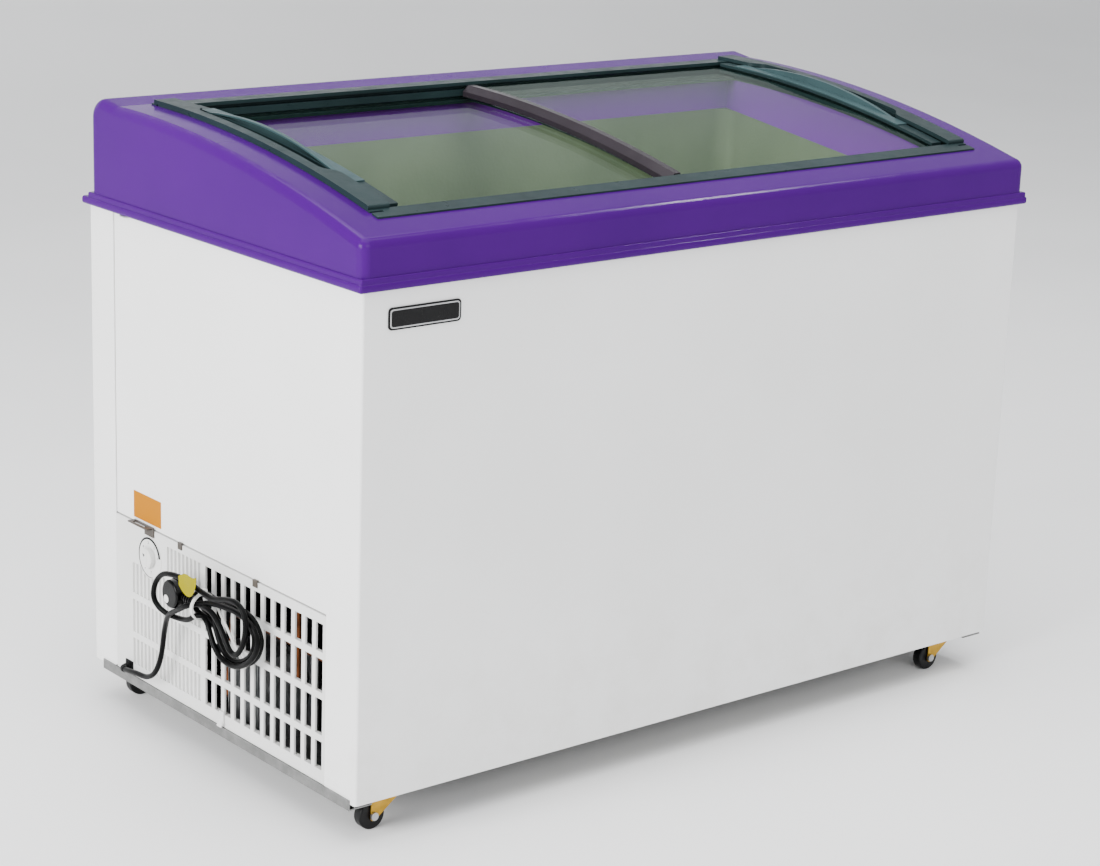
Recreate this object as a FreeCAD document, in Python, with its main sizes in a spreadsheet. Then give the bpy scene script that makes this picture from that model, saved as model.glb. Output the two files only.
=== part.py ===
import FreeCAD, Part
import math
import os
import re
import Sketcher

# Chest freezer with a curved top, two sliding curved glass lids, a compressor bay behind a grille
# at its left end and four swivel casters.
# Frame: +Z up, front face towards -Y, the grille at -X, origin on the floor under the middle.

V = FreeCAD.Vector
doc = FreeCAD.newDocument("chest_freezer")

# ---------------------------------------------------------------- driving dimensions (mm)
DIMENSIONS = {
    # insulated body
    "body_width": 1080,
    "body_depth": 600,
    "body_floor": 50,
    "body_top": 663,
    "sheet_metal": 1.5,
    "panel_recess": 2,
    "front_wrap": 63,
    "rear_wrap": 58,
    "bay_width": 226,
    "bay_top": 267,
    # plastic surround
    "flange_reach": 8,
    "flange_height": 10,
    "surround_reach": 3,
    "surround_wall": 3,
    "surround_round": 12,
    "surround_rear_round": 25,
    "surround_rear": 292,
    # the curve that the lids and rails follow: a circle about an axis parallel to X
    "curve_radius": 2050,
    "curve_axis_y": 240,
    "curve_top": 794.5,
    # mouth of the storage space and its liner
    "mouth_half": 476,
    "mouth_front": -245,
    "mouth_rear": 218,
    "rim_front": 664.5,
    "rim_rear": 723.5,
    "liner_floor": 112,
    "liner_step_floor": 320,
    "liner_step_x": -262,
    "liner_wall": 1.5,
    "liner_round": 25,
    # rails
    "rail_half": 490,
    "rail_front": -257,
    "rail_rear": 230,
    "cover_raise": 5,
    "cover_inner": 460,
    "cover_waist": 476,
    # lids, with depths measured down from the curve
    "upper_glass_top": 5,
    "lower_glass_top": 19,
    "glass_thick": 4,
    "glass_front": -239,
    "glass_rear": 212,
    "glass_edge": 455,
    "lid_profile_inner": 440,
    "lid_profile_outer": 458,
    "lid_profile_front": -226,
    "lid_profile_rear": 197,
    "skirt_left": -28,
    "skirt_right": -18,
    "skirt_drop": 17.8,
    "handle_front": -134,
    "handle_rear": 150,
    "handle_arc": 650,
    # grille
    "grille_front": -237,
    "grille_rear": 242,
    "grille_thick": 7,
    # casters
    "caster_x": 477,
    "caster_y": 264,
    "caster_trail": 17,
    "wheel_radius": 18,
    "wheel_width": 14,
    "axle_radius": 3,
    "running_gap": 0.05,
    # thermostat
    "dial_y": 157,
    "dial_z": 228,
    "dial_radius": 28,
    "knob_radius": 12.5,
    # mains lead
    "cord_radius": 3.5,
}

sheet = doc.addObject("Spreadsheet::Sheet", "Sizes")
for row, (alias, value) in enumerate(DIMENSIONS.items(), start=1):
    sheet.set(f"A{row}", alias)
    sheet.set(f"B{row}", str(value))
    sheet.setAlias(f"B{row}", alias)
doc.recompute()


# ---------------------------------------------------------------- small helpers
def size(alias):
    """A driving dimension as a number."""
    return float(sheet.get(alias))


def bound(expression):
    """The expression with each driving dimension written as a reference to the sheet."""
    return re.sub(r"[a-z_]+", lambda m: f"Sizes.{m[0]}" if m[0] in DIMENSIONS else m[0], str(expression))


def number(expression):
    """The value of an expression in the driving dimensions."""
    words = {alias: size(alias) for alias in DIMENSIONS}
    scratch = re.sub(r"[a-z_]+", lambda m: repr(words[m[0]]) if m[0] in words else m[0], str(expression))
    return float(FreeCAD.Units.Quantity(str(sheet.evalExpression(scratch))).Value)


def bind(thing, prop, expression):
    thing.setExpression(prop, bound(expression))


def crown(y, rise=0):
    """Height at y of the circle that lies rise above the lids' curve, as an expression."""
    return (
        f"curve_top - curve_radius + sqrt((curve_radius + ({rise}))^2 - (curve_axis_y - ({y}))^2)"
    )


def crown_z(y, rise=0.0):
    """The same height as a number."""
    radius = size("curve_radius") + rise
    return size("curve_top") - size("curve_radius") + math.sqrt(radius**2 - (size("curve_axis_y") - y) ** 2)


finished = []


def keep(thing, label):
    """Name a finished sub-part; its label is its file's name."""
    thing.Label = label
    finished.append(thing)
    return thing


def box(name, x, y, z):
    """A block between pairs of expressions along each axis."""
    block = doc.addObject("Part::Box", name)
    for prop, axis, (low, high) in (("Length", "x", x), ("Width", "y", y), ("Height", "z", z)):
        bind(block, prop, f"({high}) - ({low})")
        bind(block, f"Placement.Base.{axis}", low)
    return block


AXIS_TURN = {
    "x": FreeCAD.Rotation(V(0, 1, 0), 90),
    "y": FreeCAD.Rotation(V(1, 0, 0), -90),
    "z": FreeCAD.Rotation(),
}


def cylinder(name, axis, start, radius, length):
    """A cylinder that runs from start along +axis."""
    bar = doc.addObject("Part::Cylinder", name)
    bind(bar, "Radius", radius)
    bind(bar, "Height", length)
    bar.Placement = FreeCAD.Placement(V(), AXIS_TURN[axis])
    for letter, expression in zip("xyz", start):
        bind(bar, f"Placement.Base.{letter}", expression)
    return bar


def fuse(name, *pieces):
    joined = doc.addObject("Part::MultiFuse", name)
    joined.Shapes = list(pieces)
    joined.Refine = True
    return joined


def cut(name, base, *tools):
    tool = tools[0] if len(tools) == 1 else fuse(f"{name}_tools", *tools)
    result = doc.addObject("Part::Cut", name)
    result.Base = base
    result.Tool = tool
    return result


def fillet(name, base, radius, wanted):
    """Round the edges of base for which wanted(edge) holds."""
    doc.recompute()
    rounded = doc.addObject("Part::Fillet", name)
    rounded.Base = base
    rounded.Edges = [
        (index, radius, radius) for index, edge in enumerate(base.Shape.Edges, start=1) if wanted(edge)
    ]
    return rounded


def along(edge, axis):
    """Whether a straight edge runs along an axis."""
    if not isinstance(edge.Curve, Part.Line):
        return False
    return abs(edge.Curve.Direction.dot(axis)) > 0.999


def solid(name, shape):
    """A sub-part whose shape comes straight from Part's own functions."""
    feature = doc.addObject("Part::Feature", name)
    feature.Shape = shape
    feature.Placement = FreeCAD.Placement()
    return feature


def new_body(name):
    return doc.addObject("PartDesign::Body", name)


def sketch_on(body, role, offset="0"):
    """A sketch on one of the body's own planes, moved by offset along the plane's normal."""
    plane = next(item for item in body.Origin.OriginFeatures if item.Role == role)
    sketch = body.newObject("Sketcher::SketchObject", f"{body.Name}_sketch")
    sketch.AttachmentSupport = [(plane, "")]
    sketch.MapMode = "FlatFace"
    bind(sketch, "AttachmentOffset.Base.z", offset)
    return sketch


def outline(sketch, corners, arcs=None):
    """A closed outline through corners, each a pair of expressions bound to the sheet.

    arcs gives, for a side by its number, the radius expression of the arc that replaces the
    straight side: it turns left on the way round, or right with a minus sign before the radius.
    """
    arcs = arcs or {}
    points = [V(number(a), number(b), 0) for a, b in corners]
    ends = {}
    for i, start in enumerate(points):
        end = points[(i + 1) % len(points)]
        ends[i] = (1, 2)
        if i not in arcs:
            sketch.addGeometry(Part.LineSegment(start, end), False)
            continue
        radius = number(arcs[i])
        chord = end - start
        reach = math.copysign(math.sqrt(radius**2 - (chord.Length / 2) ** 2), radius)
        centre = (start + end) / 2 + V(-chord.y, chord.x, 0).normalize() * reach
        angles = [math.atan2(point.y - centre.y, point.x - centre.x) for point in (start, end)]
        if radius < 0:
            angles.reverse()
            ends[i] = (2, 1)
        sketch.addGeometry(Part.ArcOfCircle(Part.Circle(centre, V(0, 0, 1), abs(radius)), *angles), False)
    for i in range(len(points)):
        nxt = (i + 1) % len(points)
        sketch.addConstraint(Sketcher.Constraint("Coincident", i, ends[i][1], nxt, ends[nxt][0]))
    for i, (a, b) in enumerate(corners):
        for kind, expression, value in (("DistanceX", a, points[i].x), ("DistanceY", b, points[i].y)):
            index = sketch.addConstraint(Sketcher.Constraint(kind, -1, 1, i, ends[i][0], value))
            sketch.setExpression(f"Constraints[{index}]", bound(expression))
    for i, radius in arcs.items():
        index = sketch.addConstraint(Sketcher.Constraint("Radius", i, abs(number(radius))))
        sketch.setExpression(f"Constraints[{index}]", bound(str(radius).lstrip("-")))


def pad(name, role, span, corners, arcs=None):
    """A body whose outline on a plane is padded between the two expressions of span."""
    body = new_body(name)
    sketch = sketch_on(body, role, span[0])
    outline(sketch, corners, arcs)
    feature = body.newObject("PartDesign::Pad", f"{name}_pad")
    feature.Profile = sketch
    bind(feature, "Length", f"({span[1]}) - ({span[0]})")
    return body


def pad_x(name, x, corners, arcs=None):
    """Outline in (y, z), padded along X."""
    return pad(name, "YZ_Plane", x, corners, arcs)


def pad_y(name, y, corners, arcs=None):
    """Outline in (x, z), padded along Y; the plane's normal is -Y."""
    return pad(name, "XZ_Plane", (f"-({y[1]})", f"-({y[0]})"), corners, arcs)


def pad_z(name, z, corners, arcs=None):
    """Outline in (x, y), padded along Z."""
    return pad(name, "XY_Plane", z, corners, arcs)


def rectangle(a, b):
    """Corners of a rectangle between two pairs of expressions."""
    return [(a[0], b[0]), (a[1], b[0]), (a[1], b[1]), (a[0], b[1])]


def curved_bar(name, section, front, rear):
    """A section in (x, depth below the curve), turned about the curve's axis from rear to front."""
    body = new_body(name)
    sketch = sketch_on(body, "XZ_Plane")
    outline(sketch, [(x, f"curve_radius - ({depth})") for x, depth in section])
    turn = body.newObject("PartDesign::Revolution", f"{name}_turn")
    turn.Profile = sketch
    turn.ReferenceAxis = (sketch, ["H_Axis"])
    tilts = [f"asin((curve_axis_y - ({y})) / curve_radius)" for y in (front, rear)]
    bind(turn, "Angle", f"{tilts[0]} - {tilts[1]}")
    start = math.asin((size("curve_axis_y") - number(rear)) / size("curve_radius"))
    centre = V(0, size("curve_axis_y"), size("curve_top") - size("curve_radius"))
    body.Placement = FreeCAD.Placement(centre, FreeCAD.Rotation(V(1, 0, 0), math.degrees(start)))
    doc.recompute()
    if body.Shape.BoundBox.Center.y > size("curve_axis_y"):
        turn.Reversed = True
    return body


def rounded_path(points, bend=None):
    """Straight runs joined by tangent arcs: of radius bend, or as large as the two runs allow."""
    points = [V(*p) for p in points]
    edges = []
    radii = []
    start = points[0]
    for before, corner, after in zip(points, points[1:], points[2:]):
        to_before = (before - corner).normalize()
        to_after = (after - corner).normalize()
        half_turn = (math.pi - to_before.getAngle(to_after)) / 2
        shorter = min(before.distanceToPoint(corner), after.distanceToPoint(corner))
        radius = bend or 0.45 * shorter / math.tan(half_turn)
        tangent = radius * math.tan(half_turn)
        first = corner + to_before * tangent
        last = corner + to_after * tangent
        inward = (to_before + to_after).normalize()
        middle = corner + inward * (radius / math.cos(half_turn) - radius)
        edges += [Part.LineSegment(start, first).toShape(), Part.Arc(first, middle, last).toShape()]
        radii.append(radius)
        start = last
    edges.append(Part.LineSegment(start, points[-1]).toShape())
    return Part.Wire(edges), radii


def tube_along(points, radius, bend=None):
    """A round bar along a rounded path, with its volume checked against its length."""
    path, radii = rounded_path(points, bend)
    heading = V(*points[1]) - V(*points[0])
    ring = Part.Wire(Part.Circle(V(*points[0]), heading, radius).toShape())
    bar = path.makePipeShell([ring], True, False)
    expected = math.pi * radius**2 * path.Length
    if not bar.isValid() or abs(bar.Volume - expected) > 0.01 * expected:
        raise RuntimeError(f"a bar came out with volume {bar.Volume:.0f}, not {expected:.0f}")
    return bar, path.Length, radii


# ---------------------------------------------------------------- sheet-metal body
HALF_WIDTH = "body_width/2"
HALF_DEPTH = "body_depth/2"
CORNER_ROUND = 4


def wrap_panel(name, side, wrap):
    """A face panel folded round both ends of the body: side is -1 for the front, 1 for the rear."""
    face = f"{side}*{HALF_DEPTH}"
    inner = f"{side}*({HALF_DEPTH} - sheet_metal)"
    tip = f"{side}*({HALF_DEPTH} - {wrap})"
    start = f"{side}*({HALF_DEPTH} - {CORNER_ROUND})"
    corners = [
        (f"-{HALF_WIDTH}", start),
        (f"-{HALF_WIDTH} + {CORNER_ROUND}", face),
        (f"{HALF_WIDTH} - {CORNER_ROUND}", face),
        (HALF_WIDTH, start),
        (HALF_WIDTH, tip),
        (f"{HALF_WIDTH} - sheet_metal", tip),
        (f"{HALF_WIDTH} - sheet_metal", inner),
        (f"-{HALF_WIDTH} + sheet_metal", inner),
        (f"-{HALF_WIDTH} + sheet_metal", tip),
        (f"-{HALF_WIDTH}", tip),
    ]
    radius = f"{-side * CORNER_ROUND}"
    return pad_z(name, ("body_floor", "body_top"), corners, {0: radius, 2: radius})


front_panel = keep(wrap_panel("front_sheet", -1, "front_wrap"), "front_panel")

rear_sheet = wrap_panel("rear_sheet", 1, "rear_wrap")
STRIP_CHAMFER = 16
strip_corner = pad_x(
    "strip_corner",
    (f"-{HALF_WIDTH} - 1", f"-{HALF_WIDTH} + 3"),
    [
        (f"{HALF_DEPTH} - rear_wrap - 1", "body_floor - 1"),
        (f"{HALF_DEPTH} - rear_wrap + {STRIP_CHAMFER}", "body_floor - 1"),
        (f"{HALF_DEPTH} - rear_wrap - 1", f"body_floor + {STRIP_CHAMFER} / 2"),
    ],
)
rear_panel = keep(cut("rear_panel_cut", rear_sheet, strip_corner), "rear_panel")

SIDE_Y = (f"-{HALF_DEPTH} + front_wrap", f"{HALF_DEPTH} - rear_wrap")


def side_panel(label, side, floor):
    outer = f"{side}*({HALF_WIDTH} - panel_recess)"
    inner = f"{side}*({HALF_WIDTH} - panel_recess - sheet_metal)"
    x = (outer, inner) if side < 0 else (inner, outer)
    return keep(box(label, x, SIDE_Y, (floor, "body_top")), label)


side_panel("left_side_panel", -1, "bay_top")
side_panel("right_side_panel", 1, "body_floor")

# Galvanised floor pan with a folded channel along each end.
CHANNEL_OUTER = 534
CHANNEL_INNER = 510
CHANNEL_FOOT = 42
CHANNEL_LIP = 55
PAN_Y = (-290, 288)
half_pan = [
    (CHANNEL_OUTER, CHANNEL_LIP),
    (f"{CHANNEL_OUTER} - sheet_metal", CHANNEL_LIP),
    (f"{CHANNEL_OUTER} - sheet_metal", f"{CHANNEL_FOOT} + sheet_metal"),
    (CHANNEL_INNER, f"{CHANNEL_FOOT} + sheet_metal"),
    (CHANNEL_INNER, "body_floor + sheet_metal"),
]
under_pan = [
    (f"{CHANNEL_INNER} - sheet_metal", "body_floor"),
    (f"{CHANNEL_INNER} - sheet_metal", CHANNEL_FOOT),
    (CHANNEL_OUTER, CHANNEL_FOOT),
]
pan_outline = half_pan + [(f"-({x})", z) for x, z in reversed(half_pan)]
pan_outline += [(f"-({x})", z) for x, z in reversed(under_pan)] + under_pan
pan_sheet = pad_y("pan_sheet", PAN_Y, pan_outline)
CORD_NOTCH_Y = (198, 222)
pan_notch = box("pan_notch", (-CHANNEL_OUTER - 1, -CHANNEL_OUTER + 2.5), CORD_NOTCH_Y, (52, CHANNEL_LIP + 1))
skirts = []
for place, side in (("left", -1), ("right", 1)):
    skirt_x = sorted((side * (CHANNEL_OUTER - 1), side * 541.6))
    strip_x = sorted((side * 540.05, side * 541.6))
    sill_z = (CHANNEL_FOOT, f"{CHANNEL_FOOT} + sheet_metal")
    skirts.append(box(f"skirt_sill_{place}", skirt_x, (-290, 276), sill_z))
    skirts.append(box(f"skirt_strip_{place}", strip_x, (-290, 276), (CHANNEL_FOOT, 55)))
keep(fuse("pan_skirted", cut("pan_cut", pan_sheet, pan_notch), *skirts), "base_pan")

# Folded steel wall and roof between the foam and the compressor bay.
BAY_WALL = f"-{HALF_WIDTH} + bay_width"
bay_inner = f"{BAY_WALL} - sheet_metal"
keep(
    pad_y(
        "bay_wall_sheet",
        (-297, 297),
        [
            (BAY_WALL, "body_floor + 1.5"),
            (BAY_WALL, "bay_top + sheet_metal"),
            ("-536", "bay_top + sheet_metal"),
            ("-536", "bay_top"),
            (bay_inner, "bay_top"),
            (bay_inner, "body_floor + 1.5"),
        ],
    ),
    "bay_bulkhead",
)

# ---------------------------------------------------------------- storage tank and insulation
TANK_ROOF = 780
TANK_FLOOR_ROUND = 12


def tank_block(name, grow):
    """The stepped storage space, larger all round by grow, with its corners rounded."""
    y = (f"mouth_front - {grow}", f"mouth_rear + {grow}")
    half = f"mouth_half - 1 + {grow}"
    lower = box(f"{name}_lower", (f"liner_step_x - {grow}", half), y, (f"liner_floor - {grow}", TANK_ROOF))
    upper = box(f"{name}_upper", (f"-({half})", half), y, (f"liner_step_floor - {grow}", TANK_ROOF))
    both = fuse(f"{name}_both", lower, upper)
    bend = size("liner_round") + grow
    upright = fillet(f"{name}_upright", both, bend, lambda edge: along(edge, V(0, 0, 1)))
    floor = size("liner_floor") - grow
    return fillet(
        name,
        upright,
        TANK_FLOOR_ROUND + grow,
        lambda edge: edge.BoundBox.ZMax < floor + 0.01,
    )


def rim(y, rise=0):
    """Height at y of the plane of the tank's rim, which rises towards the rear."""
    return f"rim_front + (rim_rear - rim_front)*(({y}) - mouth_front)/(mouth_rear - mouth_front) + ({rise})"


RIM_REACH = 6
tank_inside = tank_block("tank_inside", 0)
tank_outside = tank_block("tank_outside", size("liner_wall"))
above_rim = pad_x(
    "above_rim",
    ("-600", "600"),
    [("-330", rim(-330)), ("330", rim(330)), ("330", "900"), ("-330", "900")],
)
rim_front_y = f"mouth_front - {RIM_REACH}"
rim_rear_y = f"mouth_rear + {RIM_REACH}"
rim_plate = pad_x(
    "rim_plate",
    (f"-mouth_half - {RIM_REACH}", f"mouth_half + {RIM_REACH}"),
    [
        (rim_front_y, rim(rim_front_y, -1.5)),
        (rim_rear_y, rim(rim_rear_y, -1.5)),
        (rim_rear_y, rim(rim_rear_y)),
        (rim_front_y, rim(rim_front_y)),
    ],
)
liner_blank = fuse("liner_blank", tank_outside, rim_plate)
keep(cut("liner_cut", liner_blank, tank_inside, above_rim), "inner_liner")

FOAM_SHOULDER = 262
foam_blank = pad_x(
    "foam_blank",
    ("-532", "532"),
    [
        (-297, "body_floor + 2"),
        (297, "body_floor + 2"),
        (297, "body_top - 2"),
        (285, "body_top - 2"),
        (285, rim(230, -4)),
        (232, rim(232, -4)),
        (f"-{FOAM_SHOULDER}", "body_top - 2"),
        (-297, "body_top - 2"),
    ],
)
bay_space = box(
    "bay_space",
    ("-540", BAY_WALL),
    (-300, 300),
    ("body_floor", "bay_top + sheet_metal"),
)
foam_hollow = tank_block("foam_hollow", size("liner_wall") + 0.1)
rim_space = pad_x(
    "rim_space",
    ("-600", "600"),
    [("-330", rim(-330, -2)), ("330", rim(330, -2)), ("330", "900"), ("-330", "900")],
)
keep(cut("foam_cut", foam_blank, foam_hollow, bay_space, rim_space), "insulation_foam")

# Evaporator: aluminium tube wound round the tank inside the foam, in two runs above and below the step.
COIL_RADIUS = 4
COIL_STAND_OFF = 7
COIL_BEND = 34


def winding(low_x, levels):
    """Corner points of a tube that goes round the tank once per level."""
    high_x = size("mouth_half") + COIL_STAND_OFF
    low_y = size("mouth_front") - COIL_STAND_OFF
    high_y = size("mouth_rear") + COIL_STAND_OFF
    ring = [(low_x, high_y), (low_x, low_y), (high_x, low_y), (high_x, high_y)]
    return [(x, y, level) for level in levels for x, y in ring]


lower_turns = winding(size("liner_step_x") - COIL_STAND_OFF, (150, 210, 270))
upper_turns = winding(-size("mouth_half") - COIL_STAND_OFF, (370, 430, 490, 550, 610))
coils = [tube_along(turns, COIL_RADIUS, COIL_BEND)[0] for turns in (lower_turns, upper_turns)]
keep(solid("coil", Part.makeCompound(coils)), "evaporator_coil")

DRAIN_X = 300
drain_body = cylinder("drain_body", "z", (DRAIN_X, -120, "liner_floor"), 14, 3)
drain_grip = box(
    "drain_grip", (DRAIN_X - 9, DRAIN_X + 9), (-122, -118), ("liner_floor + 3", "liner_floor + 9")
)
keep(fuse("drain", drain_body, drain_grip), "drain_plug")

# ---------------------------------------------------------------- plastic surround
OUTER_X = f"{HALF_WIDTH} + surround_reach"
FRONT_Y = f"-{HALF_DEPTH} - surround_reach"
REAR_LIFT = 3


def surround_block(name, inset, floor):
    """The surround's outer form, smaller all round by inset."""
    rise = f"-2 - {inset}"
    top = f"curve_top + {REAR_LIFT} - {inset}"
    rear = f"surround_rear - {inset}"
    rear_bend = f"surround_rear_round - {inset}"
    blank = pad_x(
        f"{name}_blank",
        (f"-({OUTER_X}) + {inset}", f"{OUTER_X} - {inset}"),
        [
            (f"{FRONT_Y} + {inset}", floor),
            (f"{FRONT_Y} + {inset}", crown(f"{FRONT_Y} + {inset}", rise)),
            ("curve_axis_y - 6", crown("curve_axis_y - 6", rise)),
            (f"surround_rear - surround_rear_round", top),
            (rear, f"{top} - ({rear_bend})"),
            (rear, floor),
        ],
        {1: f"-(curve_radius + {rise})", 3: f"-({rear_bend})"},
    )
    bend = size("surround_round") - inset
    front = number(FRONT_Y) + inset
    upright = fillet(
        f"{name}_upright",
        blank,
        bend,
        lambda edge: along(edge, V(0, 0, 1)) and edge.BoundBox.YMax < front + 1,
    )
    return fillet(
        name,
        upright,
        bend,
        lambda edge: edge.BoundBox.ZMin > number(floor) + 1
        and not along(edge, V(0, 0, 1))
        and (edge.BoundBox.XLength < 0.01 or edge.BoundBox.YMax < front + 1.1 * bend),
    )


surround_outer = surround_block("surround_outer", 0, "body_top")
surround_inner = surround_block("surround_inner", size("surround_wall"), "body_top - 20")
FLANGE_LOW = "body_top - 2"
flange_x = f"{HALF_WIDTH} + flange_reach"
flange_y = 307
flange = fillet(
    "flange",
    box(
        "flange_blank",
        (f"-({flange_x})", flange_x),
        (-flange_y, flange_y),
        (FLANGE_LOW, f"{FLANGE_LOW} + flange_height"),
    ),
    3.5,
    lambda edge: True,
)
STEP_REACH = 2.5
step = fillet(
    "flange_step",
    box(
        "flange_step_blank",
        (f"-({OUTER_X}) - {STEP_REACH}", f"{OUTER_X} + {STEP_REACH}"),
        (f"{FRONT_Y} - {STEP_REACH}", f"surround_rear + {STEP_REACH}"),
        ("body_top", f"{FLANGE_LOW} + flange_height + 6"),
    ),
    2,
    lambda edge: edge.BoundBox.ZMin > size("body_top") + 1 or along(edge, V(0, 0, 1)),
)
seat = box(
    "flange_seat",
    (f"-{HALF_WIDTH} - 0.1", f"{HALF_WIDTH} + 0.1"),
    (f"-{HALF_DEPTH} - 0.1", f"{HALF_DEPTH} + 0.1"),
    (f"{FLANGE_LOW} - 1", "body_top"),
)
MOUTH_X = ("-mouth_half", "mouth_half")
MOUTH_Y = ("mouth_front", "mouth_rear")
mouth = box("mouth", MOUTH_X, MOUTH_Y, ("body_top - 30", "900"))
skirt_blank = box(
    "skirt_blank",
    ("-mouth_half - surround_wall", "mouth_half + surround_wall"),
    ("mouth_front - surround_wall", "mouth_rear + surround_wall"),
    ("body_top - 25", "900"),
)
crown_space = pad_x(
    "crown_space",
    ("-600", "600"),
    [
        (-320, crown(-320, -2.5)),
        (239, crown(239, -2.5)),
        (239, 1000),
        (-320, 1000),
    ],
    {0: "-(curve_radius - 2.5)"},
)
below_rim = pad_x(
    "below_rim",
    ("-600", "600"),
    [("-330", "500"), ("330", "500"), ("330", rim(330, 0.05)), ("-330", rim(-330, 0.05))],
)
skirt = cut("mouth_skirt", skirt_blank, crown_space, below_rim)
shell = cut("surround_shell", fuse("surround_skin", surround_outer, flange, step), surround_inner, seat)
keep(cut("surround_cut", fuse("surround_joined", shell, skirt), mouth), "top_surround")

# ---------------------------------------------------------------- lid tracks
RAIL_END = 472.9


def rail(name, low, lip, rib, ledge, web, back):
    """A track along the mouth: flange, lip, rib and ledge on a web, given by their reach in y."""
    flange = [(back, -1.95), (back, 0), (lip, 0), (lip, -4.4)]
    stem = [(web, -4.4), (web, -9.6), (rib, -9.6), (rib, -18.4), (web, -18.4), (web, -23.6)]
    foot = [(ledge, -23.6), (ledge, -27.6), (low, -27.6), (low, -1.95)]
    corners = [(y, crown(y, rise)) for y, rise in flange + stem + foot]
    track = pad_x(f"{name}_track", (f"-{RAIL_END}", f"{RAIL_END}"), corners)
    ends = [(back, -1.95), (back, 0), (low, 0), (low, -1.95)]
    strip = pad_x(f"{name}_strip", ("-rail_half", "rail_half"), [(y, crown(y, rise)) for y, rise in ends])
    return keep(fuse(f"{name}_joined", track, strip), name)


rail("front_track_rail", "mouth_front", "-236", "-235", "-229", "mouth_front + 3", "rail_front")
rail("rear_track_rail", "mouth_rear", "204", "205", "200", "mouth_rear - 3", "rail_rear")

WAIST_ARC = 18.0625


def side_rail(name, side):
    """The wide moulded cover over the end of the mouth, waisted for the hand, with its web below."""
    cover = curved_bar(
        f"{name}_cover",
        [
            (f"{side}*cover_inner", 0),
            (f"{side}*rail_half", 0),
            (f"{side}*rail_half", "-cover_raise"),
            (f"{side}*cover_inner", "-cover_raise"),
        ],
        -237,
        224,
    )
    narrow = "cover_waist - 8"
    waist_line = [
        ("450", 165),
        ("cover_inner", 165),
        (narrow, 150),
        ("cover_waist", 135),
        ("cover_waist", -115),
        (narrow, -130),
        ("cover_inner", -145),
        ("450", -145),
    ]
    turns = {1: side * WAIST_ARC, 2: -side * WAIST_ARC, 4: -side * WAIST_ARC, 5: side * WAIST_ARC}
    waist = pad_z(
        f"{name}_waist",
        (700, 900),
        [(f"{side}*({x})", y) for x, y in waist_line],
        {index: str(radius) for index, radius in turns.items()},
    )
    web = curved_bar(
        f"{name}_web",
        [
            (f"{side}*(mouth_half - 3)", 0),
            (f"{side}*rail_half", 0),
            (f"{side}*rail_half", 1.95),
            (f"{side}*mouth_half", 1.95),
            (f"{side}*mouth_half", 28),
            (f"{side}*(mouth_half - 3)", 28),
        ],
        "mouth_front + 3.5",
        "mouth_rear - 3.5",
    )
    shaped = cut(f"{name}_shaped", cover, waist)
    nose = fillet(
        f"{name}_nose",
        shaped,
        3.5,
        lambda edge: along(edge, V(1, 0, 0))
        and edge.BoundBox.YMax < -230
        and edge.BoundBox.ZMin > crown_z(-237, 3),
    )
    return keep(fuse(f"{name}_joined", nose, web), name)


side_rail("left_side_rail", -1)
side_rail("right_side_rail", 1)


# ---------------------------------------------------------------- sliding lids
def lid_bar(name, section, front="lid_profile_front", rear="lid_profile_rear"):
    return keep(curved_bar(f"{name}_bar", section, front, rear), name)


def pane(name, x, top):
    section = rectangle(x, (top, f"{top} + glass_thick"))
    return lid_bar(name, section, "glass_front", "glass_rear")


def end_profile(name, side, glass_top, foot):
    """The frame strip along a lid's outer end, grooved for the pane."""
    groove = (f"{glass_top} - 0.1", f"{glass_top} + glass_thick + 0.1")
    section = [
        ("lid_profile_inner", 1),
        ("lid_profile_outer", 1),
        ("lid_profile_outer", foot),
        ("lid_profile_inner", foot),
        ("lid_profile_inner", groove[1]),
        ("glass_edge + 0.2", groove[1]),
        ("glass_edge + 0.2", groove[0]),
        ("lid_profile_inner", groove[0]),
    ]
    return lid_bar(name, [(f"{side}*({x})", depth) for x, depth in section])


def handle(name, side):
    """A crescent grip on a base strip: a thin wall, bowed upward, with a lip turned outward."""
    strip = curved_bar(
        f"{name}_base",
        [(f"{side}*{x}", depth) for x, depth in ((440, 0.95), (459, 0.95), (459, -0.5), (440, -0.5))],
        -160,
        165,
    )

    def crescent(part, x, drop):
        ends = [(y, crown(y, -0.5 - drop)) for y in ("handle_front", "handle_rear")]
        span = sorted(side * value for value in x)
        return pad_x(f"{name}_{part}", span, ends, {0: "-handle_arc", 1: f"curve_radius - 0.5 - {drop}"})

    wall = crescent("wall", (455, 459), 0)
    lip = cut(f"{name}_lip", crescent("lip_blank", (458.5, 460.6), 0), crescent("lip_under", (450, 470), 2))
    return keep(fuse(f"{name}_joined", strip, wall, lip), name)


pane("right_lid_glass", ("skirt_right", "glass_edge"), "upper_glass_top")
end_profile("right_lid_end_profile", 1, "upper_glass_top", 14)
lid_bar(
    "right_lid_skirt",
    [
        (-10, 3),
        (-10, 4.95),
        ("skirt_right - 0.1", 4.95),
        ("skirt_right - 0.1", 9.05),
        (-13, 9.05),
        (-13, 11.5),
        (-24.1, 11.5),
        (-24.1, "skirt_drop"),
        ("skirt_left", "skirt_drop"),
        ("skirt_left", 11),
        (-19.5, 3),
    ],
)
handle("right_lid_handle", 1)

pane("left_lid_glass", ("-glass_edge", 10), "lower_glass_top")
end_profile("left_lid_end_profile", -1, "lower_glass_top", 27)
lid_bar(
    "left_lid_inner_edge",
    [
        (-14, 16.5),
        (12, 16.5),
        (12, 25.5),
        (-14, 25.5),
        (-14, 23.05),
        (10.1, 23.05),
        (10.1, 18.95),
        (-14, 18.95),
    ],
)
handle("left_lid_handle", -1)

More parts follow.
